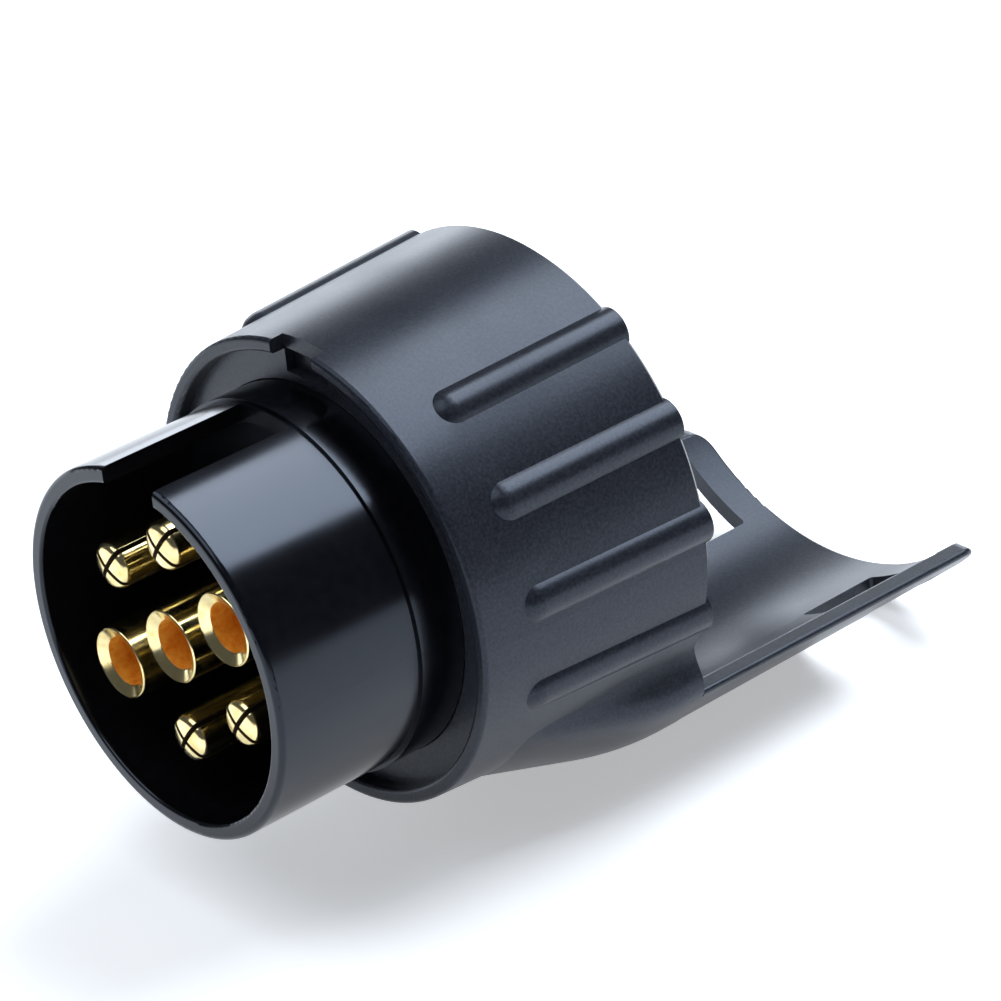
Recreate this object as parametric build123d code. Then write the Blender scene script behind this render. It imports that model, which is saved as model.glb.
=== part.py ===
from build123d import *
import os
from math import cos, hypot, radians, sin, tan

# Short adapter between a seven-pin trailer plug (front) and a thirteen-way socket (rear).
# Millimetres. The plug axis lies along Y, the plug's mating face is at y = 0 and faces -Y,
# the keyway is at the top (+Z) and the half-pipe tail is at the bottom.
# Angles are measured about the axis from +X towards +Z.

# ---- plug sleeve ----
sleeve_radius = 19.25
sleeve_wall = 1.75
sleeve_length = 16.8
sleeve_depth = 18.0
sleeve_lip_round = 0.6
sleeve_mouth_round = 0.35
keyway_width = 7.7
keyway_end_wall = 0.4
collar_step = 0.35
collar_length = 5.2
spigot_step = 1.8
contact_block_thickness = 8.0

# ---- plug contacts ----
plug_circle_radius = 10.5
plug_pin_angles = (90.0, 150.0, 270.0, 330.0)
plug_tube_angles = (30.0, 210.0)
tube_radius = 3.75
tube_bore_radius = 2.55
tube_setback = 2.1
tube_countersink = 0.5
tube_edge = 0.12
pin_radius = 2.45
pin_setback = 2.2
pin_crown = 0.5
pin_edge_round = 0.9
pin_root_step = 0.35
pin_root_stand = 0.5
pin_slot_width = 0.5
pin_slot_depth = 7.0
pin_slot_turn = 35.0
contact_clearance = 0.04
contact_flange_step = 0.7
contact_flange_length = 1.5
tail_cup_radius = 1.5
tail_cup_bore = 0.9
tail_cup_depth = 1.0
plug_tail_length = 1.7

# ---- grip shell ----
rim_setback = 20.3
rim_wall = 1.5
rim_round = 0.5
recess_gap = 3.4
recess_depth = 1.7
web_thickness = 2.4
body_length = 27.8
rear_wall = 2.8
body_flare = 1.6
rear_edge_chamfer = 0.5
plate_ledge = 1.5
notch_width = 6.3
notch_pocket_depth = 2.9
notch_pocket_gap = 0.8
rib_count_per_side = 4
rib_first_angle = 36.0
rib_pitch = 24.0
rib_width = 3.7
rib_height = 0.85
rib_setback = 5.4

# ---- tail ----
tail_step = 1.3
tail_wall = 1.95
tail_length = 41.5
tail_half_angle = 53.0
tail_lip_slope = 2.8
tail_corner_round = 2.0
tail_edge_round = 0.4
ramp_angle = 16.2
ramp_length = 22.5
ramp_knee = 4.0
ramp_side_angle = 9.0
ramp_root_dip = 0.5
ramp_step = 0.05
window_length = 10.4
window_width = 10.4
window_offset = 9.6
window_corner = 0.4
rear_bar_width = 4.0

# ---- socket side ----
wiring_gap = 6.4
carrier_clearance = 0.1
carrier_step = 2.8
carrier_plate = 3.2
carrier_setback = 0.2
carrier_flange = 2.2
socket_wall = 2.2
socket_bore_radius = 18.2
boss_radius = 13.4
boss_setback = 2.0
bayonet_count = 3
bayonet_width = 5.0
bayonet_depth = 6.0
bayonet_turn = 24.0
bayonet_lock_width = 3.4
socket_outer_circle = 10.5
socket_inner_circle = 5.0
socket_outer_count = 8
socket_inner_count = 5
socket_contact_radius = 1.9
socket_contact_bore = 1.25
socket_contact_setback = 0.3
socket_flange_step = 0.9
socket_bore_depth = 8.5
socket_tail_length = 1.6
blank_hole_depth = 6.0
face_seal_thickness = 1.2
face_seal_clearance = 0.2
face_seal_boss_gap = 0.8

# ---- clamping and sealing ----
gasket_thickness = 0.8
fit_clearance = 0.1
retainer_thickness = 1.6
screw_count = 3
screw_boss_gap = 0.5
screw_radius = 1.15
screw_hole_clearance = 0.05
screw_head_radius = 1.9
screw_head_height = 1.5
screw_recess_length = 2.4
screw_recess_width = 0.5
screw_recess_depth = 0.8
screw_bite = 5.4
standoff_radius = 2.6

# ---- leads ----
lead_radius = 0.8
lead_bend_radius = 1.1
lead_insertion = 0.9
lead_rise = 1.0

# ---- stations along the axis ----
collar_end = sleeve_length + collar_length
collar_radius = sleeve_radius + collar_step
sleeve_bore_radius = sleeve_radius - sleeve_wall
spigot_radius = collar_radius - spigot_step
recess_radius = collar_radius + recess_gap
rim_radius = recess_radius + rim_wall
carrier_radius = socket_bore_radius + socket_wall + carrier_step
rear_bore_radius = carrier_radius + carrier_clearance
chamber_radius = rear_bore_radius - plate_ledge
body_rear_radius = max(rear_bore_radius + rear_wall, rim_radius + body_flare)
screw_circle_radius = boss_radius + screw_boss_gap + screw_head_radius
web_front = rim_setback + recess_depth
web_rear = web_front + web_thickness
shell_rear = rim_setback + body_length
block_rear = sleeve_depth + contact_block_thickness
retainer_rear = block_rear + retainer_thickness
plate_front = retainer_rear + wiring_gap
plate_rear = plate_front + carrier_plate
carrier_rear = shell_rear - carrier_setback
boss_face = shell_rear - boss_setback
tail_inner_radius = body_rear_radius + tail_step
tail_outer_radius = tail_inner_radius + tail_wall
tail_rear = shell_rear + tail_length
ramp_end = rim_setback + ramp_length
cut_margin = 5.0

FORWARD = (Align.CENTER, Align.CENTER, Align.MIN)


def at(radius, angle, y):
    """Place a shape on a circle about the axis, with its own Z along +Y."""
    turn = radians(angle)
    return Pos(radius * cos(turn), y, radius * sin(turn)) * Rot(-90, 0, 0)


def rod(radius, y0, y1, place_radius=0.0, angle=0.0):
    """Cylinder along the axis from y0 to y1."""
    return at(place_radius, angle, y0) * Cylinder(radius, y1 - y0, align=FORWARD)


def turned(*points):
    """Solid of revolution about the axis from (radius, y) points."""
    return revolve(make_face(Polyline(*points, close=True)), Axis.Y, 360)


def radial_box(width, inner, outer, y0, y1, angle):
    """Box that points outward at an angle, from one radius to another."""
    box = Box(outer - inner, y1 - y0, width, align=(Align.MIN, Align.MIN, Align.CENTER))
    return Rot(0, -angle, 0) * Pos(inner, y0, 0) * box


def body_radius(y):
    """Outer radius of the tapered body at a station."""
    return rim_radius + (body_rear_radius - rim_radius) * (y - rim_setback) / body_length


def circle_edges(solid, y, radius):
    """Circular edges of a solid with a radius, at a station along the axis."""
    found = solid.edges().filter_by(GeomType.CIRCLE)
    return [e for e in found if abs(e.center().Y - y) < 0.01 and abs(e.radius - radius) < 0.01]


def save(name, shape):
    """Write one named sub-part."""
    shape.label = name
    export_step(shape, f"parts/{name}.step")


# ---- grip shell ----
def rib(angle):
    """Half-round grip rib along the taper, with a rounded front end."""
    radius = (rib_width**2 / 4 + rib_height**2) / (2 * rib_height)
    start_y = rim_setback + rib_setback + (radius**2 - (radius - rib_height) ** 2) ** 0.5
    sunk = radius - rib_height
    start = Vector(body_radius(start_y) - sunk, start_y, 0)
    end = Vector(body_radius(shell_rear) - sunk, shell_rear, 0)
    run = end - start
    place = Plane(origin=start, z_dir=run)
    bar = place * Cylinder(radius, run.length + cut_margin, align=FORWARD)
    bar = bar + Pos(start) * Sphere(radius)
    keep = Pos(0, shell_rear, 0) * Box(200, 200, 200, align=(Align.CENTER, Align.MAX, Align.CENTER))
    return Rot(0, -angle, 0) * (bar & keep)


def ramp_radius(y):
    """Outer radius of the ramp that widens the body's underside to the tail."""
    rise = tan(radians(ramp_angle))
    top = tail_outer_radius + ramp_step
    if y <= ramp_end - ramp_knee:
        return top - rise * (ramp_end - y)
    if y >= ramp_end + ramp_knee:
        return top
    return top - rise * (ramp_end + ramp_knee - y) ** 2 / (4 * ramp_knee)


def ramp_section(y):
    """Closed outline of the ramp at one station, blended into the body at both sides."""
    side = tail_half_angle + ramp_side_angle
    base = body_radius(y) - ramp_root_dip
    peak = max(ramp_radius(y), base)
    steps = 36
    outer = []
    for i in range(steps + 1):
        phi = -side + 2 * side * i / steps
        t = min(max((abs(phi) - tail_half_angle) / ramp_side_angle, 0.0), 1.0)
        blend = 1 - t * t * (3 - 2 * t)
        radius = base + (peak - base) * blend
        turn = radians(phi - 90)
        outer.append((radius * cos(turn), y, radius * sin(turn)))
    inner_radius = chamber_radius - 1.0
    inner = [
        (inner_radius * cos(radians(phi - 90)), y, inner_radius * sin(radians(phi - 90)))
        for phi in (side, 0, -side)
    ]
    wire = Wire(
        [
            Spline(*outer).edge(),
            Line(outer[-1], inner[0]).edge(),
            ThreePointArc(*inner).edge(),
            Line(inner[2], outer[0]).edge(),
        ]
    )
    return Face(wire)


def make_ramp():
    """Ramp under the body, lofted through sections along the axis."""
    first = ramp_end - (tail_outer_radius - rim_radius) / tan(radians(ramp_angle))
    stations = [first + (ramp_end - ramp_knee - first) * i / 4 for i in range(5)]
    stations += [ramp_end - ramp_knee / 2, ramp_end, ramp_end + ramp_knee / 2, ramp_end + ramp_knee]
    stations += [shell_rear]
    return loft([ramp_section(y) for y in stations])


def make_tail():
    """Half-pipe tail with sloping lips, rounded corners and two windows."""
    tube = rod(tail_outer_radius, shell_rear, tail_rear) - rod(tail_inner_radius, shell_rear, tail_rear)
    lip_start = -(tail_inner_radius + tail_wall / 2) * cos(radians(tail_half_angle))
    lip_end = lip_start - tail_length * tan(radians(tail_lip_slope))
    below = -tail_outer_radius - cut_margin
    outline = Polyline(
        (shell_rear, lip_start), (tail_rear, lip_end), (tail_rear, below), (shell_rear, below), close=True
    )
    side_view = make_face(outline)
    corner = [v for v in side_view.vertices() if abs(v.X - tail_rear) < 0.01 and v.Y > below + 1]
    side_view = fillet(corner, tail_corner_round)
    side_view = Plane(origin=(0, 0, 0), x_dir=(0, 1, 0), z_dir=(1, 0, 0)) * side_view
    tail = tube & extrude(side_view, 2 * tail_outer_radius, both=True)
    walls = tail.faces().filter_by(GeomType.CYLINDER)
    walls = [f for f in walls if f.area > tail_length * tail_wall]
    rims = [e for f in walls for e in f.edges() if abs(e.center().Y - shell_rear) > 0.01]
    tail = fillet(rims, tail_edge_round)
    window_rear = tail_rear - rear_bar_width
    for side in (-1, 1):
        x = side * (window_offset + window_width / 2)
        window = Box(window_width, window_length, 60, align=(Align.CENTER, Align.MAX, Align.CENTER))
        window = fillet(window.edges().filter_by(Axis.Z), window_corner)
        tail = tail - Pos(x, window_rear, -30) * window
    return tail


def make_grip_shell():
    """Moulded outer shell: rim, web, tapered ribbed body, ramp and tail."""
    chamfer_radius = body_radius(shell_rear - rear_edge_chamfer)
    body = turned(
        (0, rim_setback),
        (rim_radius, rim_setback),
        (chamfer_radius, shell_rear - rear_edge_chamfer),
        (body_rear_radius - rear_edge_chamfer, shell_rear),
        (0, shell_rear),
    )
    body = body - rod(recess_radius, rim_setback - cut_margin, web_front)
    rim_edges = circle_edges(body, rim_setback, rim_radius)
    rim_edges += circle_edges(body, rim_setback, recess_radius)
    body = fillet(rim_edges, rim_round)
    body = body + make_ramp()
    for side in (-1, 1):
        for i in range(rib_count_per_side):
            body = body + rib(90 + side * (rib_first_angle + rib_pitch * i))
    hole_radius = spigot_radius + fit_clearance
    body = body - rod(hole_radius, web_front - cut_margin, web_rear + cut_margin)
    seat_radius = collar_radius + fit_clearance
    body = body - rod(seat_radius, web_front - cut_margin, collar_end + gasket_thickness)
    body = body - rod(chamber_radius, web_rear, plate_front)
    body = body - rod(rear_bore_radius, plate_front, shell_rear + cut_margin)
    front = rim_setback - cut_margin
    notch = radial_box(notch_width, recess_radius - rim_wall, rim_radius + cut_margin, front, web_front, 90)
    pocket_inner = collar_radius + notch_pocket_gap
    pocket_end = rim_setback + notch_pocket_depth
    pocket = radial_box(notch_width, pocket_inner, recess_radius, front, pocket_end, 90)
    return body - notch - pocket + make_tail()


# ---- plug side ----
def contact_places():
    """Angle, circle radius and kind of every plug contact, the centre tube last."""
    places = [(angle, plug_circle_radius, "pin") for angle in plug_pin_angles]
    places += [(angle, plug_circle_radius, "tube") for angle in plug_tube_angles]
    return places + [(0.0, 0.0, "tube")]


def shank_radius(kind):
    """Outer radius of a plug contact."""
    return pin_radius if kind == "pin" else tube_radius


def root_radius(kind):
    """Radius of a plug contact where it sits in the contact block."""
    return pin_radius + pin_root_step if kind == "pin" else tube_radius


def screw_angles():
    """Angles of the clamping screws, in the gaps between the contacts."""
    return [360 * i / screw_count for i in range(screw_count)]


def make_plug_insert():
    """Keyed sleeve, collar and contact block in one moulding."""
    insert = rod(sleeve_radius, 0, sleeve_length)
    insert = insert + rod(collar_radius, sleeve_length, collar_end)
    insert = insert + rod(spigot_radius, collar_end, block_rear)
    insert = insert - rod(sleeve_bore_radius, -cut_margin, sleeve_depth)
    insert = fillet(circle_edges(insert, 0, sleeve_radius), sleeve_lip_round)
    insert = fillet(circle_edges(insert, 0, sleeve_bore_radius), sleeve_mouth_round)
    keyway_end = sleeve_length - keyway_end_wall
    keyway = radial_box(
        keyway_width, sleeve_bore_radius / 2, sleeve_radius + cut_margin, -cut_margin, keyway_end, 90
    )
    insert = insert - keyway
    for angle, circle, kind in contact_places():
        radius = root_radius(kind) + contact_clearance
        insert = insert - rod(radius, sleeve_depth - cut_margin, block_rear, circle, angle)
        seat = radius + contact_flange_step
        insert = insert - rod(seat, block_rear - contact_flange_length, block_rear, circle, angle)
    for angle in screw_angles():
        pilot = screw_radius + screw_hole_clearance
        insert = insert - rod(pilot, block_rear - screw_bite, block_rear, screw_circle_radius, angle)
    return insert


def tail_cup(y_from, y_to, radius, circle, angle):
    """Solder cup between two stations, open at y_to."""
    low, high = min(y_from, y_to), max(y_from, y_to)
    cup = rod(radius, low, high, circle, angle)
    if y_to > y_from:
        return cup - rod(tail_cup_bore, y_to - tail_cup_depth, y_to + cut_margin, circle, angle)
    return cup - rod(tail_cup_bore, y_to - cut_margin, y_to + tail_cup_depth, circle, angle)


def make_plug_contact(angle, circle, kind):
    """Pin or tube with its flange and solder cup."""
    radius = shank_radius(kind)
    front = pin_setback if kind == "pin" else tube_setback
    seat_front = block_rear - contact_flange_length
    root = root_radius(kind)
    contact = rod(radius, front, seat_front, circle, angle)
    if kind == "pin":
        crown_radius = (radius**2 + pin_crown**2) / (2 * pin_crown)
        ball = at(circle, angle, front) * Pos(0, 0, crown_radius) * Sphere(crown_radius)
        contact = contact - (rod(2 * radius, front, front + pin_crown, circle, angle) - ball)
        contact = fillet(circle_edges(contact, front + pin_crown, radius), pin_edge_round)
        contact = contact + rod(root, sleeve_depth - pin_root_stand, seat_front, circle, angle)
        for turn in (pin_slot_turn, pin_slot_turn + 90):
            slot = Box(4 * radius, pin_slot_width, pin_slot_depth + cut_margin, align=FORWARD)
            place = at(circle, angle, front - cut_margin) * Rot(0, 0, turn)
            contact = contact - place * slot
    else:
        bore_end = sleeve_depth
        contact = contact - rod(tube_bore_radius, front - cut_margin, bore_end, circle, angle)
        mouth = radius - tube_edge
        cone = Cone(mouth, tube_bore_radius, tube_countersink, align=FORWARD)
        contact = contact - at(circle, angle, front) * cone
    flange_radius = root + contact_flange_step - contact_clearance
    contact = contact + rod(flange_radius, seat_front, block_rear, circle, angle)
    cup_end = retainer_rear + plug_tail_length
    return contact + tail_cup(block_rear, cup_end, tail_cup_radius, circle, angle)


def make_gasket():
    """Flat ring between the plug collar and the shell's web."""
    ring = rod(collar_radius, collar_end, collar_end + gasket_thickness)
    return ring - rod(spigot_radius + fit_clearance, collar_end, collar_end + gasket_thickness)


def make_contact_retainer():
    """Plate that keeps the plug contacts in the block."""
    plate = rod(spigot_radius, block_rear, retainer_rear)
    for angle, circle, _ in contact_places():
        hole = tail_cup_radius + fit_clearance
        plate = plate - rod(hole, block_rear, retainer_rear, circle, angle)
    for angle in screw_angles():
        hole = screw_radius + fit_clearance
        plate = plate - rod(hole, block_rear, retainer_rear, screw_circle_radius, angle)
    return plate


# ---- socket side ----
def socket_places():
    """Angle and circle radius of each of the socket's holes."""
    outer = [(360 * i / socket_outer_count, socket_outer_circle) for i in range(socket_outer_count)]
    inner = [(90 + 360 * i / socket_inner_count, socket_inner_circle) for i in range(socket_inner_count)]
    return outer + inner


def wired_places():
    """Socket places that hold a contact, in the order of the plug contacts that feed them."""
    places = []
    free = [p for p in socket_places() if p[1] == socket_outer_circle]
    for angle, circle, _ in contact_places():
        x, z = circle * cos(radians(angle)), circle * sin(radians(angle))
        free.sort(
            key=lambda p: round(hypot(p[1] * cos(radians(p[0])) - x, p[1] * sin(radians(p[0])) - z), 3)
        )
        places.append(free.pop(0))
    return places


def bayonet_slot(angle):
    """Entry slot and locking groove for one lug of the mating plug's ring."""
    outer = carrier_radius - socket_wall / 2
    entry = radial_box(
        bayonet_width, socket_bore_radius - 1, outer, carrier_rear - bayonet_depth, carrier_rear + 1, angle
    )
    steps = 4
    low = carrier_rear - bayonet_depth
    for i in range(1, steps + 1):
        turn = angle + bayonet_turn * i / steps
        entry = entry + radial_box(
            bayonet_width, socket_bore_radius - 1, outer, low, low + bayonet_lock_width, turn
        )
    return entry


def make_socket_carrier():
    """Cup with a central boss for the rear contacts, standoffs and bayonet slots."""
    carrier = rod(carrier_radius, plate_front, plate_rear)
    wall = rod(socket_bore_radius + socket_wall, plate_rear, carrier_rear)
    wall = wall + rod(carrier_radius, carrier_rear - carrier_flange, carrier_rear)
    wall = wall - rod(socket_bore_radius, plate_rear, carrier_rear)
    carrier = carrier + wall + rod(boss_radius, plate_rear, boss_face)
    for i in range(bayonet_count):
        carrier = carrier - bayonet_slot(30 + 360 * i / bayonet_count)
    for angle in screw_angles():
        carrier = carrier + rod(standoff_radius, retainer_rear, plate_front, screw_circle_radius, angle)
    for angle in screw_angles():
        hole = screw_radius + fit_clearance
        carrier = carrier - rod(hole, retainer_rear - 1, plate_rear, screw_circle_radius, angle)
        head_seat = plate_rear - screw_head_height
        head = screw_head_radius + fit_clearance
        carrier = carrier - rod(head, head_seat, plate_rear, screw_circle_radius, angle)
    wired = wired_places()
    for angle, circle in socket_places():
        if (angle, circle) in wired:
            hole = socket_contact_radius + contact_clearance
            carrier = carrier - rod(hole, plate_front, boss_face, circle, angle)
            seat = hole + socket_flange_step
            seat_rear = plate_front + contact_flange_length
            carrier = carrier - rod(seat, plate_front, seat_rear, circle, angle)
        else:
            carrier = carrier - rod(
                socket_contact_bore, boss_face - blank_hole_depth, boss_face, circle, angle
            )
    return carrier


def make_socket_contact(angle, circle):
    """Female contact with its flange and solder cup."""
    rear = boss_face - socket_contact_setback
    contact = rod(socket_contact_radius, plate_front, rear, circle, angle)
    flange_rear = plate_front + contact_flange_length
    flange_radius = socket_contact_radius + socket_flange_step
    contact = contact + rod(flange_radius, plate_front, flange_rear, circle, angle)
    contact = contact - rod(socket_contact_bore, rear - socket_bore_depth, rear, circle, angle)
    cup_end = plate_front - socket_tail_length
    return contact + tail_cup(plate_front, cup_end, tail_cup_radius, circle, angle)


def make_face_seal():
    """Soft ring on the floor of the socket, over the screw heads."""
    rear = plate_rear + face_seal_thickness
    ring = rod(socket_bore_radius - face_seal_clearance, plate_rear, rear)
    return ring - rod(boss_radius + face_seal_boss_gap, plate_rear, rear)


def make_screw(angle):
    """Pan-head screw with a cross recess, from the socket floor into the contact block."""
    seat = plate_rear - screw_head_height
    tip = block_rear - screw_bite + screw_radius / 2
    circle = screw_circle_radius
    screw = rod(screw_radius, tip, seat, circle, angle)
    screw = screw + rod(screw_head_radius, seat, plate_rear, circle, angle)
    sunk = (Align.CENTER, Align.CENTER, Align.MAX)
    cut = Box(screw_recess_length, screw_recess_width, screw_recess_depth, align=sunk)
    for turn in (0, 90):
        screw = screw - at(circle, angle, plate_rear) * Rot(0, 0, turn) * cut
    return screw


# ---- leads ----
def make_lead(start, end):
    """Insulated lead from a plug contact's cup to a socket contact's cup."""
    (a0, r0), (a1, r1) = start, end
    y0 = retainer_rear + plug_tail_length - lead_insertion
    y1 = plate_front - socket_tail_length + lead_insertion
    middle = (y0 + y1) / 2
    x0, z0 = r0 * cos(radians(a0)), r0 * sin(radians(a0))
    x1, z1 = r1 * cos(radians(a1)), r1 * sin(radians(a1))
    first = Vector(x0, y0, z0)
    if hypot(x1 - x0, z1 - z0) < lead_radius / 10:
        route = Line(first, (x1, y1, z1))
    else:
        points = [
            first,
            (x0, middle - lead_rise / 2, z0),
            (x1, middle + lead_rise / 2, z1),
            (x1, y1, z1),
        ]
        route = FilletPolyline(*points, radius=lead_bend_radius)
    section = Plane(origin=first, z_dir=(0, 1, 0)) * Circle(lead_radius)
    return sweep(section, path=route)


def main():
    """Build and write every sub-part."""
    os.makedirs("parts", exist_ok=True)
    save("grip_shell", make_grip_shell())
    save("plug_insert", make_plug_insert())
    save("collar_gasket", make_gasket())
    save("contact_retainer", make_contact_retainer())
    save("socket_carrier", make_socket_carrier())
    save("socket_face_seal", make_face_seal())
    save("clamp_screws", Compound(children=[make_screw(angle) for angle in screw_angles()]))
    counts = {"pin": 0, "tube": 0}
    for number, (place, target) in enumerate(zip(contact_places(), wired_places()), start=1):
        angle, circle, kind = place
        counts[kind] += 1
        save(f"plug_{kind}_{counts[kind]}", make_plug_contact(angle, circle, kind))
        save(f"socket_contact_{number}", make_socket_contact(*target))
        save(f"lead_{number}", make_lead((angle, circle), target))


main()
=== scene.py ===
"""Looks of a compact trailer wiring adapter: a seven-pin plug that becomes a thirteen-way socket."""

import logging
import math
from dataclasses import dataclass, field
from enum import Enum

import bmesh
import bpy
from mathutils import Matrix, Vector


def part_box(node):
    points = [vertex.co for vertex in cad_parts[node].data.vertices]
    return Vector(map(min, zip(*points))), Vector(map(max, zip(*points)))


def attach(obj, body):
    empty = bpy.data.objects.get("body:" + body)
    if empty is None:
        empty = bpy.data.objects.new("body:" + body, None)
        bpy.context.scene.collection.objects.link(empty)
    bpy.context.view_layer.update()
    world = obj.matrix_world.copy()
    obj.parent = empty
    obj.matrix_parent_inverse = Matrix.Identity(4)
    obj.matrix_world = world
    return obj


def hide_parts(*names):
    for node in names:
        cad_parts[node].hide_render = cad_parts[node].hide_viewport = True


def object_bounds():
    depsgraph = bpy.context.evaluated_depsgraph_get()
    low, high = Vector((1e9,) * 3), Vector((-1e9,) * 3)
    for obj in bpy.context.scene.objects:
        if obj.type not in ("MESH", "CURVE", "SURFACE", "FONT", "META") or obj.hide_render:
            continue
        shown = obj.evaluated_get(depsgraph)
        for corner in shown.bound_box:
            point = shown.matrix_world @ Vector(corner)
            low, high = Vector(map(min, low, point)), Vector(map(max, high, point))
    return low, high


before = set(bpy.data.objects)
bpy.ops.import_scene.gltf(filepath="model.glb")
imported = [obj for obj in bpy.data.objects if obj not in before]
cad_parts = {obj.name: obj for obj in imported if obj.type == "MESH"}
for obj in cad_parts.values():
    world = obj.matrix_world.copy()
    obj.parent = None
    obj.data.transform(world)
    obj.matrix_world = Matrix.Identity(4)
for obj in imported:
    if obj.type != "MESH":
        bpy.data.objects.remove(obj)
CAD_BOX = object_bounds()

LOG = logging.getLogger("adapter")
MM = 0.001
SHARP_EDGE = math.radians(32)
BEVELLED_EDGE = math.radians(50)
SQUARE_ON = 0.99

Colour = tuple[float, float, float]


class Band(Enum):
    """The finish that a turned contact has on one band of its surface."""

    BRIGHT = 0
    BORE = 1
    # Slot walls and floor that carry painted shade.
    SAWN = 2


class Insulation(Enum):
    """Insulation colours of the leads, as linear red, green and blue."""

    YELLOW = (0.78, 0.52, 0.03)
    BLUE = (0.02, 0.09, 0.42)
    WHITE = (0.72, 0.71, 0.66)
    GREEN = (0.03, 0.24, 0.06)
    BROWN = (0.13, 0.05, 0.02)
    RED = (0.50, 0.02, 0.02)
    BLACK = (0.012, 0.012, 0.014)


class NodeDesk:
    """A material's node tree with short ways to lay a finish on it."""

    def __init__(self, name: str) -> None:
        """Start a material that has only its shader.

        Args:
            name: name of the new material.
        """
        self.material = bpy.data.materials.new(name)
        self.material.use_nodes = True
        self.tree = self.material.node_tree
        self.tree.nodes.clear()
        self.output = self.add("ShaderNodeOutputMaterial")
        self.shader = self.add("ShaderNodeBsdfPrincipled")
        self.link(self.shader, "BSDF", self.output, "Surface")
        self.place = self.add("ShaderNodeTexCoord")

    def add(self, kind: str, **values: float) -> bpy.types.Node:
        """Add a node and set its input sockets.

        Args:
            kind: the node's type name.
            values: socket values by socket name, with underscores for spaces.

        Returns:
            The new node.
        """
        node = self.tree.nodes.new(kind)
        for key, value in values.items():
            node.inputs[key.replace("_", " ")].default_value = value
        return node

    def link(self, source: bpy.types.Node, out: str, target: bpy.types.Node, into: str) -> None:
        """Join one node's output to another node's input."""
        self.tree.links.new(source.outputs[out], target.inputs[into])

    def set(self, **values: float | tuple[float, ...]) -> None:
        """Set the shader's own sockets, by name with underscores for spaces."""
        for key, value in values.items():
            self.shader.inputs[key.replace("_", " ")].default_value = value

    def noise(self, scale: float, detail: float = 3.0, roughness: float = 0.5) -> bpy.types.Node:
        """Add a noise texture in the object's own space.

        Args:
            scale: cells per metre.
            detail: octaves of finer noise.
            roughness: strength of the finer octaves.

        Returns:
            The noise node.
        """
        node = self.add("ShaderNodeTexNoise", Scale=scale, Detail=detail, Roughness=roughness)
        self.link(self.place, "Object", node, "Vector")
        return node

    def paint(self, pattern: bpy.types.Node, *stops: tuple[float, Colour]) -> None:
        """Colour the surface by a pattern.

        Args:
            pattern: the texture node.
            stops: positions from 0 to 1 in the pattern, each with its colour.
        """
        node = self.add("ShaderNodeValToRGB")
        for element, (position, colour) in zip(node.color_ramp.elements, stops):
            element.position = position
            element.color = (*colour, 1.0)
        self.link(pattern, "Fac", node, "Fac")
        self.link(node, "Color", self.shader, "Base Color")

    def polish(self, pattern: bpy.types.Node, low: float, high: float) -> None:
        """Vary the surface's roughness by a pattern.

        Args:
            pattern: the texture node.
            low: roughness at the low end of the pattern's middle range.
            high: roughness at its high end.
        """
        node = self.add("ShaderNodeMapRange", From_Min=0.3, From_Max=0.7, To_Min=low, To_Max=high)
        self.link(pattern, "Fac", node, "Value")
        self.link(node, "Result", self.shader, "Roughness")

    def emboss(
        self, pattern: bpy.types.Node, strength: float, depth: float, under: bpy.types.Node | None = None
    ) -> bpy.types.Node:
        """Raise the surface by a pattern.

        Args:
            pattern: the texture node.
            strength: share of the relief that shows.
            depth: its height in metres.
            under: a coarser relief that this one sits on.

        Returns:
            The relief's node.
        """
        node = self.add("ShaderNodeBump", Strength=strength, Distance=depth)
        self.link(pattern, "Fac", node, "Height")
        if under is not None:
            self.link(under, "Normal", node, "Normal")
        self.link(node, "Normal", self.shader, "Normal")
        return node


class Finish:
    """A surface finish that can be laid on a new material."""

    def material(self, name: str) -> bpy.types.Material:
        """Make a material with this finish.

        Args:
            name: name of the material.

        Returns:
            The material.
        """
        desk = NodeDesk(name)
        self.lay(desk)
        return desk.material

    def lay(self, desk: NodeDesk) -> None:
        """Lay the finish on the desk's material."""
        raise NotImplementedError


@dataclass(frozen=True)
class MouldedPlastic(Finish):
    """Injection-moulded plastic with a fine grain and faint flow marks."""

    colour: Colour
    pale: Colour
    roughness: float
    roughness_swing: float
    grain_per_m: float
    grain_depth: float
    grain_strength: float
    specular: float
    tint: Colour = (0.72, 0.82, 1.0)
    flow_per_m: float = 90.0
    flow_depth: float = 0.08 * MM

    def lay(self, desk: NodeDesk) -> None:
        """Lay the finish.

        Args:
            desk: the material's desk.
        """
        flow = desk.noise(self.flow_per_m, 2.0)
        speck = desk.noise(self.grain_per_m, 2.0, 0.6)
        desk.paint(speck, (0.35, self.colour), (0.72, self.pale))
        desk.polish(flow, self.roughness - self.roughness_swing, self.roughness + self.roughness_swing)
        coarse = desk.emboss(flow, 0.15, self.flow_depth)
        desk.emboss(speck, self.grain_strength, self.grain_depth, coarse)
        desk.set(Specular_IOR_Level=self.specular, Specular_Tint=(*self.tint, 1.0))


@dataclass(frozen=True)
class TurnedBrass(Finish):
    """Bright turned brass with faint lathe rings and a thin tarnish."""

    bright: Colour = (0.98, 0.84, 0.44)
    tarnish: Colour = (0.74, 0.52, 0.17)
    rings_per_m: float = 2600.0

    def lay(self, desk: NodeDesk) -> None:
        """Lay the finish.

        Args:
            desk: the material's desk.
        """
        cloud = desk.noise(700.0, 4.0, 0.6)
        desk.paint(cloud, (0.38, self.bright), (0.85, self.tarnish))
        desk.polish(cloud, 0.11, 0.24)
        rings = desk.add("ShaderNodeTexWave", Scale=self.rings_per_m, Distortion=0.4, Detail=1.0)
        rings.bands_direction = "Y"
        desk.link(desk.place, "Object", rings, "Vector")
        desk.emboss(rings, 0.05, 0.01 * MM)
        desk.set(Metallic=1.0)


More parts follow.
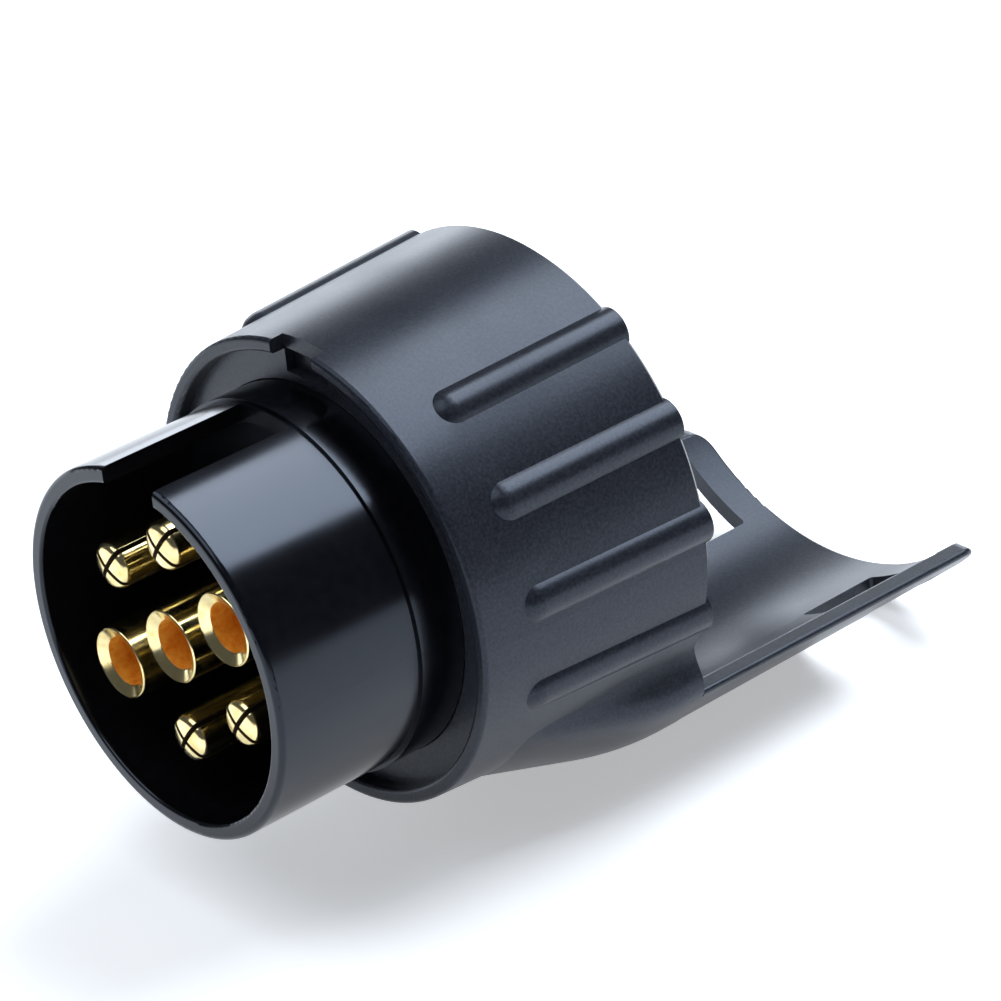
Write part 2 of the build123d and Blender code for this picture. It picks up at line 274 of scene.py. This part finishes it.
@dataclass(frozen=True)
class OxidisedBore(Finish):
    """Unpolished brass inside a bore: warm, dull and uneven."""

    warm: Colour = (1.00, 0.56, 0.07)
    dull: Colour = (0.80, 0.27, 0.01)

    def lay(self, desk: NodeDesk) -> None:
        """Lay the finish.

        Args:
            desk: the material's desk.
        """
        cloud = desk.noise(1100.0, 4.0, 0.65)
        desk.paint(cloud, (0.36, self.warm), (0.72, self.dull))
        desk.polish(cloud, 0.42, 0.6)
        desk.emboss(cloud, 0.3, 0.03 * MM)
        desk.set(Metallic=0.55)


@dataclass(frozen=True)
class SlotShadeBrass(Finish):
    """Near-black brass on the walls and floor of a cut slot, as painted shade."""

    # Both colours are painted shade for the narrow slot; the noise only varies the tone.
    dark: Colour = (0.020, 0.012, 0.004)
    pale: Colour = (0.090, 0.050, 0.015)

    def lay(self, desk: NodeDesk) -> None:
        """Lay the finish.

        Args:
            desk: the material's desk.
        """
        cloud = desk.noise(2600.0, 3.0, 0.6)
        desk.paint(cloud, (0.40, self.dark), (0.75, self.pale))
        desk.polish(cloud, 0.55, 0.75)
        desk.set(Metallic=0.3)


@dataclass(frozen=True)
class PlatedSteel(Finish):
    """Zinc-plated steel with a slightly milky lustre."""

    bright: Colour = (0.62, 0.63, 0.66)
    milky: Colour = (0.42, 0.43, 0.46)

    def lay(self, desk: NodeDesk) -> None:
        """Lay the finish.

        Args:
            desk: the material's desk.
        """
        cloud = desk.noise(900.0)
        desk.paint(cloud, (0.35, self.bright), (0.75, self.milky))
        desk.polish(cloud, 0.22, 0.38)
        desk.emboss(cloud, 0.1, 0.02 * MM)
        desk.set(Metallic=1.0)


@dataclass(frozen=True)
class SoftRubber(Finish):
    """Matte sealing rubber with a dusty bloom."""

    colour: Colour = (0.010, 0.010, 0.011)
    bloom: Colour = (0.035, 0.035, 0.038)

    def lay(self, desk: NodeDesk) -> None:
        """Lay the finish.

        Args:
            desk: the material's desk.
        """
        dust = desk.noise(1200.0, 4.0)
        desk.paint(dust, (0.4, self.colour), (0.8, self.bloom))
        desk.polish(dust, 0.62, 0.78)
        desk.emboss(dust, 0.2, 0.02 * MM)
        desk.set(Specular_IOR_Level=0.35)


@dataclass(frozen=True)
class LeadInsulation(Finish):
    """Extruded wire insulation in one of the standard colours."""

    insulation: Insulation
    shade: float = 0.8

    def lay(self, desk: NodeDesk) -> None:
        """Lay the finish.

        Args:
            desk: the material's desk.
        """
        colour = self.insulation.value
        shaded = tuple(self.shade * part for part in colour)
        cloud = desk.noise(800.0)
        desk.paint(cloud, (0.35, colour), (0.75, shaded))
        desk.polish(cloud, 0.3, 0.42)
        desk.emboss(cloud, 0.1, 0.01 * MM)


@dataclass(frozen=True)
class StudioPaper(Finish):
    """Seamless pale paper under the object, lit softly from below."""

    colour: Colour = (0.93, 0.94, 0.95)
    glow: float = 0.46

    def lay(self, desk: NodeDesk) -> None:
        """Lay the finish.

        Args:
            desk: the material's desk.
        """
        desk.set(Base_Color=(*self.colour, 1.0), Roughness=0.9)
        desk.set(Emission_Color=(*self.colour, 1.0), Emission_Strength=self.glow)


SHELL_PLASTIC = MouldedPlastic(
    colour=(0.008, 0.009, 0.013),
    pale=(0.024, 0.026, 0.034),
    roughness=0.33,
    roughness_swing=0.03,
    grain_per_m=3200.0,
    grain_depth=0.03 * MM,
    grain_strength=0.3,
    specular=0.36,
)
INSERT_PLASTIC = MouldedPlastic(
    colour=(0.002, 0.002, 0.003),
    pale=(0.004, 0.004, 0.005),
    roughness=0.17,
    roughness_swing=0.03,
    grain_per_m=900.0,
    grain_depth=0.01 * MM,
    grain_strength=0.05,
    specular=0.42,
)
CARRIER_PLASTIC = MouldedPlastic(
    colour=(0.006, 0.006, 0.008),
    pale=(0.014, 0.014, 0.017),
    roughness=0.38,
    roughness_swing=0.05,
    grain_per_m=2400.0,
    grain_depth=0.03 * MM,
    grain_strength=0.2,
    specular=0.5,
)


class FinishShelf:
    """The materials that several sub-assemblies share, made once."""

    def __init__(self) -> None:
        """Make every shared material."""
        self.carrier_plastic = CARRIER_PLASTIC.material("carrier_plastic_finish")
        self.contact_brass = TurnedBrass().material("contact_brass_finish")
        self.seal_rubber = SoftRubber().material("seal_rubber_finish")


@dataclass
class TurnedProfile:
    """Outline of a turned part, as radii at distances behind its front end."""

    points: list[tuple[float, float]] = field(default_factory=list)
    bands: list[Band] = field(default_factory=list)
    sides: int = 96

    def to(self, radius: float, behind: float, band: Band = Band.BRIGHT) -> "TurnedProfile":
        """Run the outline straight to a point.

        Args:
            radius: the point's distance from the axis.
            behind: its distance behind the front end.
            band: the finish of the surface up to it.

        Returns:
            The profile itself, for the next step.
        """
        self.points.append((radius, behind))
        self.bands.append(band)
        return self

    def arc(self, centre: tuple[float, float], radius: float, start: float, steps: int) -> "TurnedProfile":
        """Run the outline round an arc that ends level with the axis.

        Args:
            centre: the arc's centre, as radius and distance behind the front.
            radius: the arc's own radius.
            start: first angle in degrees, from outward towards the rear.
            steps: number of straight steps.

        Returns:
            The profile itself, for the next step.
        """
        for i in range(steps + 1):
            turn = math.radians(start * (1 - i / steps))
            self.to(centre[0] + radius * math.cos(turn), centre[1] + radius * math.sin(turn))
        return self

    def spin(self, name: str, centre: Vector) -> bpy.types.Object:
        """Turn the outline about a line along Y.

        Args:
            name: name of the new object.
            centre: where the front end's centre lies.

        Returns:
            The new object.
        """
        bm = bmesh.new()
        rings = [self.ring(bm, centre, radius, behind) for radius, behind in self.points]
        for band, near, far in zip(self.bands[1:], rings, rings[1:]):
            for i in range(self.sides):
                j = (i + 1) % self.sides
                corners = [near[i % len(near)], near[j % len(near)], far[j % len(far)], far[i % len(far)]]
                face = bm.faces.new(list(dict.fromkeys(corners)))
                face.smooth = True
                face.material_index = band.value
        bmesh.ops.recalc_face_normals(bm, faces=bm.faces)
        mark_sharp(bm)
        return new_piece(name, bm)

    def ring(
        self, bm: bmesh.types.BMesh, centre: Vector, radius: float, behind: float
    ) -> list[bmesh.types.BMVert]:
        """Add one ring of the turned part.

        Args:
            bm: the mesh being built.
            centre: where the front end's centre lies.
            radius: the ring's radius, which is 0 for a point on the axis.
            behind: its distance behind the front end.

        Returns:
            The ring's vertices.
        """
        if radius <= 0:
            return [bm.verts.new(centre + Vector((0, behind, 0)))]
        turns = [2 * math.pi * i / self.sides for i in range(self.sides)]
        spokes = [Vector((radius * math.cos(turn), behind, radius * math.sin(turn))) for turn in turns]
        return [bm.verts.new(centre + spoke) for spoke in spokes]


def mark_sharp(bm: bmesh.types.BMesh) -> None:
    """Mark a mesh's hard corners so that smooth shading stops there.

    Args:
        bm: the mesh.
    """
    for edge in bm.edges:
        if len(edge.link_faces) == 2 and edge.calc_face_angle() > SHARP_EDGE:
            edge.smooth = False


def new_piece(name: str, bm: bmesh.types.BMesh) -> bpy.types.Object:
    """Turn a finished mesh into an object in the scene.

    Args:
        name: name of the object and its mesh.
        bm: the mesh, which is freed.

    Returns:
        The new object.
    """
    mesh = bpy.data.meshes.new(name)
    bm.to_mesh(mesh)
    bm.free()
    piece = bpy.data.objects.new(name, mesh)
    bpy.context.scene.collection.objects.link(piece)
    return piece


def nodes_named(prefix: str) -> list[str]:
    """CAD nodes whose names start with a prefix, in order."""
    return sorted(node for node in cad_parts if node.startswith(prefix))


def front_of(node: str) -> Vector:
    """Centre of a CAD node's front end, which faces -Y."""
    low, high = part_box(node)
    return Vector(((low.x + high.x) / 2, low.y, (low.z + high.z) / 2))


def length_of(node: str) -> float:
    """Length of a CAD node along Y."""
    low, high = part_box(node)
    return high.y - low.y


class SubAssembly:
    """Pieces of the adapter that come off the bench together."""

    def dress(self, node: str, finish: bpy.types.Material) -> None:
        """Give a CAD node that keeps its shape its finish.

        Args:
            node: the node's name.
            finish: its material.
        """
        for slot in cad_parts[node].material_slots:
            slot.link = "OBJECT"
            slot.material = finish
        LOG.info("%s keeps its CAD shape", node)

    def settle(self, piece: bpy.types.Object, node: str, slot: str, *finishes: bpy.types.Material) -> None:
        """Dress a new piece and let it stand for its CAD node.

        Args:
            piece: the piece.
            node: the CAD node it stands for.
            slot: the record's material slot; not used.
            finishes: materials in the order of the mesh's own indices.
        """
        for finish in finishes:
            piece.data.materials.append(finish)
        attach(piece, "root")
        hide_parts(node)
        LOG.info("%s stands for %s", piece.name, node)


@dataclass
class SolderTail:
    """Flange and solder cup behind every plug contact."""

    flange_step: float = 0.66 * MM
    flange_length: float = 1.5 * MM
    cup_radius: float = 1.5 * MM
    cup_bore: float = 0.9 * MM
    cup_depth: float = 1.0 * MM
    cup_round: float = 0.12 * MM

    def finish_outline(
        self, outline: TurnedProfile, root: float, seat: float, length: float
    ) -> TurnedProfile:
        """Take a contact's outline from its shank to the bottom of the cup.

        Args:
            outline: the outline so far.
            root: radius of the contact in front of the flange.
            seat: distance of the flange behind the front end.
            length: whole length of the contact.

        Returns:
            The finished outline.
        """
        outer = root + self.flange_step
        rear = seat + self.flange_length
        outline.to(root, seat).to(outer, seat).to(outer, rear).to(self.cup_radius, rear)
        outline.to(self.cup_radius, length - self.cup_round)
        outline.to(self.cup_radius - self.cup_round, length).to(self.cup_bore, length)
        outline.to(self.cup_bore, length - self.cup_depth, Band.BORE)
        return outline.to(0, length - self.cup_depth, Band.BORE)


@dataclass
class PlugTubes(SubAssembly):
    """Female contacts of the plug: open brass tubes with a countersunk mouth."""

    radius: float = 3.75 * MM
    bore: float = 2.55 * MM
    bore_depth: float = 15.9 * MM
    countersink: float = 0.50 * MM
    edge: float = 0.12 * MM
    edge_break: float = 0.10 * MM
    seat: float = 22.4 * MM
    tail: SolderTail = field(default_factory=SolderTail)

    def build(self, shelf: FinishShelf) -> None:
        """Build and dress every tube.

        Args:
            shelf: the shared materials.
        """
        bore_finish = OxidisedBore().material("contact_bore_finish")
        for node in nodes_named("plug_tube"):
            piece = self.outline(length_of(node)).spin(f"{node}_turned", front_of(node))
            self.settle(piece, node, "contact_brass", shelf.contact_brass, bore_finish)

    def outline(self, length: float) -> TurnedProfile:
        """Outline of a tube from the bottom of its bore to its solder cup.

        Args:
            length: whole length of the contact.

        Returns:
            The outline.
        """
        throat = self.bore + self.edge_break
        mouth = self.radius - self.edge
        line = TurnedProfile().to(0, self.bore_depth).to(self.bore, self.bore_depth, Band.BORE)
        line.to(self.bore, self.countersink + self.edge_break, Band.BORE).to(throat, self.countersink)
        line.to(mouth - self.edge_break, self.edge_break).to(mouth, 0)
        line.to(self.radius - self.edge / 2, self.edge / 4).to(self.radius, self.edge)
        return self.tail.finish_outline(line, self.radius, self.seat, length)


@dataclass
class PlugPins(SubAssembly):
    """Male contacts of the plug: brass pins with crowned, cross-slotted tips."""

    radius: float = 2.45 * MM
    crown: float = 0.50 * MM
    crown_steps: int = 7
    edge_round: float = 0.85 * MM
    edge_steps: int = 12
    root: float = 2.80 * MM
    root_start: float = 15.3 * MM
    root_break: float = 0.15 * MM
    seat: float = 22.3 * MM
    slot_width: float = 0.50 * MM
    slot_depth: float = 7.0 * MM
    slot_turns: tuple[float, float] = (-35.0, 55.0)
    slot_edge: float = 0.03 * MM
    slot_edge_steps: int = 2
    tail: SolderTail = field(default_factory=SolderTail)

    def build(self, shelf: FinishShelf) -> None:
        """Build and dress every pin.

        Args:
            shelf: the shared materials.
        """
        # Near-black painted shade for the slot walls and floor.
        slot_shade = SlotShadeBrass().material("sawn_slot_finish")
        brass = shelf.contact_brass
        for node in nodes_named("plug_pin"):
            front = front_of(node)
            piece = self.outline(length_of(node)).spin(f"{node}_turned", front)
            self.saw_slots(piece, front)
            self.mark_slots(piece, front)
            self.settle(piece, node, "contact_brass", brass, brass, slot_shade)

    def outline(self, length: float) -> TurnedProfile:
        """Outline of a pin from the middle of its crown to its solder cup.

        Args:
            length: whole length of the contact.

        Returns:
            The outline.
        """
        ball = (self.radius**2 + self.crown**2) / (2 * self.crown)
        middle = self.radius - self.edge_round
        reach = math.sqrt((ball - self.edge_round) ** 2 - middle**2)
        meet = math.degrees(math.atan2(-reach, middle))
        line = TurnedProfile().to(0, 0)
        for i in range(1, self.crown_steps):
            turn = math.radians(90 + meet) * i / self.crown_steps
            line.to(ball * math.sin(turn), ball * (1 - math.cos(turn)))
        line.arc((middle, ball - reach), self.edge_round, meet, self.edge_steps)
        line.to(self.radius, self.root_start).to(self.root - self.root_break, self.root_start)
        line.to(self.root, self.root_start + self.root_break)
        return self.tail.finish_outline(line, self.root, self.seat, length)

    def saw_slots(self, piece: bpy.types.Object, front: Vector) -> None:
        """Saw the cross slots into a pin's tip and break their edges.

        Args:
            piece: the pin.
            front: centre of its front end.
        """
        blades = [self.blade(front, turn) for turn in self.slot_turns]
        for blade in blades:
            cut = piece.modifiers.new("slot", "BOOLEAN")
            cut.operation, cut.object, cut.solver = "DIFFERENCE", blade, "EXACT"
        edge = piece.modifiers.new("edge_break", "BEVEL")
        edge.width, edge.segments = self.slot_edge, self.slot_edge_steps
        edge.limit_method, edge.angle_limit = "ANGLE", BEVELLED_EDGE
        edge.use_clamp_overlap = False
        graph = bpy.context.evaluated_depsgraph_get()
        cut_mesh = bpy.data.meshes.new_from_object(piece.evaluated_get(graph))
        piece.modifiers.clear()
        piece.data = cut_mesh
        for blade in blades:
            bpy.data.objects.remove(blade)

    def blade(self, front: Vector, turn: float) -> bpy.types.Object:
        """Make the blade that cuts one slot.

        Args:
            front: centre of the pin's front end.
            turn: the slot's angle about the axis, in degrees.

        Returns:
            The blade.
        """
        bm = bmesh.new()
        size = Vector((4 * self.radius, 2 * self.slot_depth, self.slot_width))
        bmesh.ops.create_cube(bm, size=1.0, matrix=Matrix.Diagonal(size).to_4x4())
        spin = Matrix.Rotation(math.radians(-turn), 4, "Y")
        bmesh.ops.transform(bm, matrix=Matrix.Translation(front) @ spin, verts=bm.verts)
        return new_piece("slot_saw", bm)

    def mark_slots(self, piece: bpy.types.Object, front: Vector) -> None:
        """Set a slotted pin to smooth shading and paint its slot walls and floor with painted shade.

        Args:
            piece: the pin.
            front: centre of its front end.
        """
        bm = bmesh.new()
        bm.from_mesh(piece.data)
        for face in bm.faces:
            face.smooth = True
            if self.in_slot(face, front):
                # The slot's walls and floor get painted shade.
                face.material_index = Band.SAWN.value
        mark_sharp(bm)
        bm.to_mesh(piece.data)
        bm.free()

    def in_slot(self, face: bmesh.types.BMFace, front: Vector) -> bool:
        """Tell whether a face is a side wall or the floor of a slot.

        Args:
            face: the face.
            front: centre of the pin's front end.

        Returns:
            True where the saw has cut it.
        """
        place = face.calc_center_median() - front
        if place.y > self.slot_depth + self.slot_edge:
            return False
        if abs(place.y - self.slot_depth) < self.slot_edge:
            return True
        for turn in self.slot_turns:
            across = Vector((-math.sin(math.radians(turn)), 0, math.cos(math.radians(turn))))
            on_wall = abs(abs(place.dot(across)) - self.slot_width / 2) < self.slot_edge / 4
            if on_wall and abs(face.normal.dot(across)) > SQUARE_ON:
                return True
        return False


class PlugHousing(SubAssembly):
    """Glossy plug moulding with its gasket and the plate that holds its contacts."""

    def build(self, shelf: FinishShelf) -> None:
        """Dress the housing's pieces.

        Args:
            shelf: the shared materials.
        """
        self.dress("plug_insert", INSERT_PLASTIC.material("insert_plastic_finish"))
        self.dress("collar_gasket", shelf.seal_rubber)
        self.dress("contact_retainer", shelf.carrier_plastic)


class GripShell(SubAssembly):
    """Ribbed outer shell with its half-pipe tail."""

    def build(self) -> None:
        """Dress the shell."""
        self.dress("grip_shell", SHELL_PLASTIC.material("shell_plastic_finish"))


class SocketSide(SubAssembly):
    """Socket carrier with its contacts and its face seal."""

    def build(self, shelf: FinishShelf) -> None:
        """Dress the socket's pieces.

        Args:
            shelf: the shared materials.
        """
        self.dress("socket_carrier", shelf.carrier_plastic)
        self.dress("socket_face_seal", shelf.seal_rubber)
        for node in nodes_named("socket_contact"):
            self.dress(node, shelf.contact_brass)


class Wiring(SubAssembly):
    """The leads between the plug's contacts and the socket's."""

    def build(self) -> None:
        """Dress every lead in the colour of its slot."""
        for node in nodes_named("lead_"):
            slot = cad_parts[node].data.materials[0].name
            colour = Insulation[slot.removeprefix("lead_").upper()]
            self.dress(node, LeadInsulation(colour).material(f"{slot}_finish"))


class ClampScrews(SubAssembly):
    """The three screws that clamp the plug and the socket together."""

    def build(self) -> None:
        """Dress the screws."""
        self.dress("clamp_screws", PlatedSteel().material("screw_steel_finish"))


def direction(azimuth: float, elevation: float) -> Vector:
    """Unit vector towards a viewer or light.

    Args:
        azimuth: degrees round from -Y towards +X.
        elevation: degrees above the floor.

    Returns:
        The direction away from the object.
    """
    turn, rise = math.radians(azimuth), math.radians(elevation)
    return Vector((math.sin(turn) * math.cos(rise), -math.cos(turn) * math.cos(rise), math.sin(rise)))


@dataclass(frozen=True)
class Softbox:
    """A soft area light aimed at the object."""

    name: str
    azimuth: float
    elevation: float
    distance: float
    width: float
    height: float
    watts: float
    colour: Colour = (0.86, 0.92, 1.0)

    def build(self, target: Vector) -> None:
        """Hang the light and aim it.

        Args:
            target: the point it faces.
        """
        light = bpy.data.lights.new(self.name, "AREA")
        light.shape = "RECTANGLE"
        light.size, light.size_y = self.width, self.height
        light.energy = self.watts
        light.color = self.colour
        lamp = bpy.data.objects.new(self.name, light)
        bpy.context.scene.collection.objects.link(lamp)
        away = direction(self.azimuth, self.elevation)
        lamp.location = target + away * self.distance
        lamp.rotation_euler = (-away).to_track_quat("-Z", "Y").to_euler()


@dataclass
class Studio:
    """Pale floor, soft lights and the camera."""

    camera_azimuth: float = 51.224
    camera_elevation: float = 28.039
    camera_roll: float = -5.869
    camera_distance: float = 0.41941
    lens: float = 150.40
    sensor: float = 36.0
    clip_near: float = 0.01
    clip_far: float = 20.0
    aim_offset: tuple[float, float, float] = (0.163 * MM, -1.098 * MM, -0.126 * MM)
    floor_size: float = 6.0
    air_colour: Colour = (0.78, 0.86, 1.0)
    air_strength: float = 0.09
    boxes: tuple[Softbox, ...] = (
        Softbox("overhead_box", 173.0, 59.0, distance=0.9, width=0.8, height=0.5, watts=10.5),
        Softbox("left_strip", 236.0, 10.0, distance=0.9, width=0.9, height=0.3, watts=3.4),
        Softbox("front_fill", -10.0, 62.0, distance=1.2, width=1.1, height=0.9, watts=7.2),
    )

    def build(self) -> None:
        """Set the floor, the lights, the world and the camera."""
        low, high = CAD_BOX
        centre = (low + high) / 2
        self.build_floor(low.z)
        for box in self.boxes:
            box.build(centre)
        self.build_world()
        self.build_camera(centre + Vector(self.aim_offset))

    def build_floor(self, height: float) -> None:
        """Lay the floor.

        Args:
            height: the floor's height.
        """
        bm = bmesh.new()
        bmesh.ops.create_grid(bm, x_segments=8, y_segments=8, size=self.floor_size / 2)
        floor = new_piece("studio_floor", bm)
        floor.location.z = height
        floor.data.materials.append(StudioPaper().material("studio_paper"))

    def build_world(self) -> None:
        """Fill the studio with dim cool light."""
        world = bpy.data.worlds.new("studio_air")
        world.use_nodes = True
        air = world.node_tree.nodes["Background"]
        air.inputs["Color"].default_value = (*self.air_colour, 1.0)
        air.inputs["Strength"].default_value = self.air_strength
        bpy.context.scene.world = world
        bpy.context.scene.view_settings.view_transform = "Standard"

    def build_camera(self, aim: Vector) -> None:
        """Place the camera.

        Args:
            aim: the point at the middle of its view.
        """
        data = bpy.data.cameras.new("studio_camera")
        data.lens, data.sensor_width = self.lens, self.sensor
        data.clip_start, data.clip_end = self.clip_near, self.clip_far
        camera = bpy.data.objects.new("studio_camera", data)
        bpy.context.scene.collection.objects.link(camera)
        back = direction(self.camera_azimuth, self.camera_elevation)
        right = Vector((0, 0, 1)).cross(back).normalized()
        up = back.cross(right)
        roll = math.radians(self.camera_roll)
        side = math.cos(roll) * right + math.sin(roll) * up
        top = back.cross(side)
        turn = Matrix((side, top, back)).transposed().to_4x4()
        camera.matrix_world = Matrix.Translation(aim + back * self.camera_distance) @ turn
        bpy.context.scene.camera = camera


def main() -> None:
    """Build every sub-assembly and the studio."""
    logging.basicConfig(level=logging.INFO)
    shelf = FinishShelf()
    PlugTubes().build(shelf)
    PlugPins().build(shelf)
    PlugHousing().build(shelf)
    GripShell().build()
    SocketSide().build(shelf)
    Wiring().build()
    ClampScrews().build()
    Studio().build()


if __name__ == "__main__":
    main()
